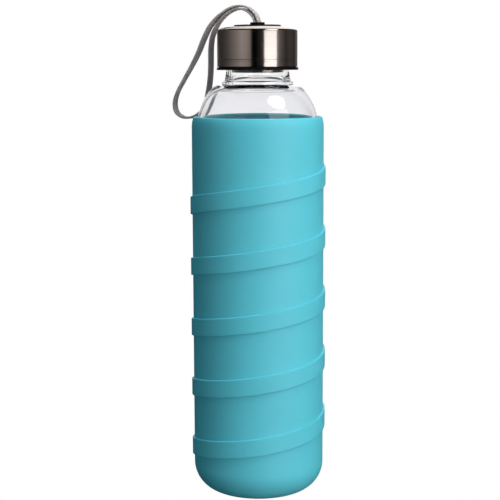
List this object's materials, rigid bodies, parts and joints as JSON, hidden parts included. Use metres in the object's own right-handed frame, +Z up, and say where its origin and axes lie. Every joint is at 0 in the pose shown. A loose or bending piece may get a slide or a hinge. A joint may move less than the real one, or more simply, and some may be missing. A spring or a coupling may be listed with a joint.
{
  "type": "glass water bottle",
  "caption": "Clear glass water bottle in a teal silicone sleeve with a helical grip band, a steel-skinned screw cap and a woven wrist strap.",
  "frame": {"origin": "on the bottle's axis, at the surface that the sleeve's foot stands on", "axes": "+Z up along the bottle's axis, -Y towards the viewer who sees the strap hang on the left, over -X"},
  "size_m": [0.0965, 0.0844, 0.3058],
  "materials": {
    "silicone": "satin moulded silicone, teal",
    "clear_glass": "clear polished glass",
    "seal_silicone": "translucent white silicone",
    "black_plastic": "moulded black polypropylene",
    "brushed_steel": "turned and brushed round the cap",
    "plain_steel": "plain stamped sheet",
    "webbing": "flat woven cord, warm grey"
  },
  "bodies": {
    "sleeve": {"silicone_sleeve": "silicone"},
    "glass": {"glass_bottle": "clear_glass"},
    "seal": {"mouth_gasket": "seal_silicone"},
    "cap": {"cap_liner": "black_plastic", "plug_seal_ring": "seal_silicone", "cap_shell": "brushed_steel"},
    "strap": {"strap_anchor": "black_plastic", "anchor_retaining_ring": "plain_steel", "wrist_strap": "webbing", "strap_ferrule": "plain_steel"}
  },
  "joints": [
    {"name": "glass_lift_out", "type": "slide", "parent": "sleeve", "child": "glass", "axis": [0, 0, 1], "range_m": [0, 0.24]},
    {"name": "cap_lift", "type": "slide", "parent": "glass", "child": "seal", "axis": [0, 0, 1], "range_m": [0, 0.015]},
    {"name": "cap_turn", "type": "hinge", "parent": "seal", "child": "cap", "pos_m": [0, 0, 0.272], "axis": [0, 0, 1], "range_deg": [0, 900]},
    {"name": "strap_swivel", "type": "hinge", "parent": "cap", "child": "strap", "pos_m": [0, 0, 0.292], "axis": [0, 0, 1], "continuous": true}
  ],
  "couplings": [
    {"joint": "cap_lift", "follows": "cap_turn", "m_per_rad": 0.0009549}
  ]
}
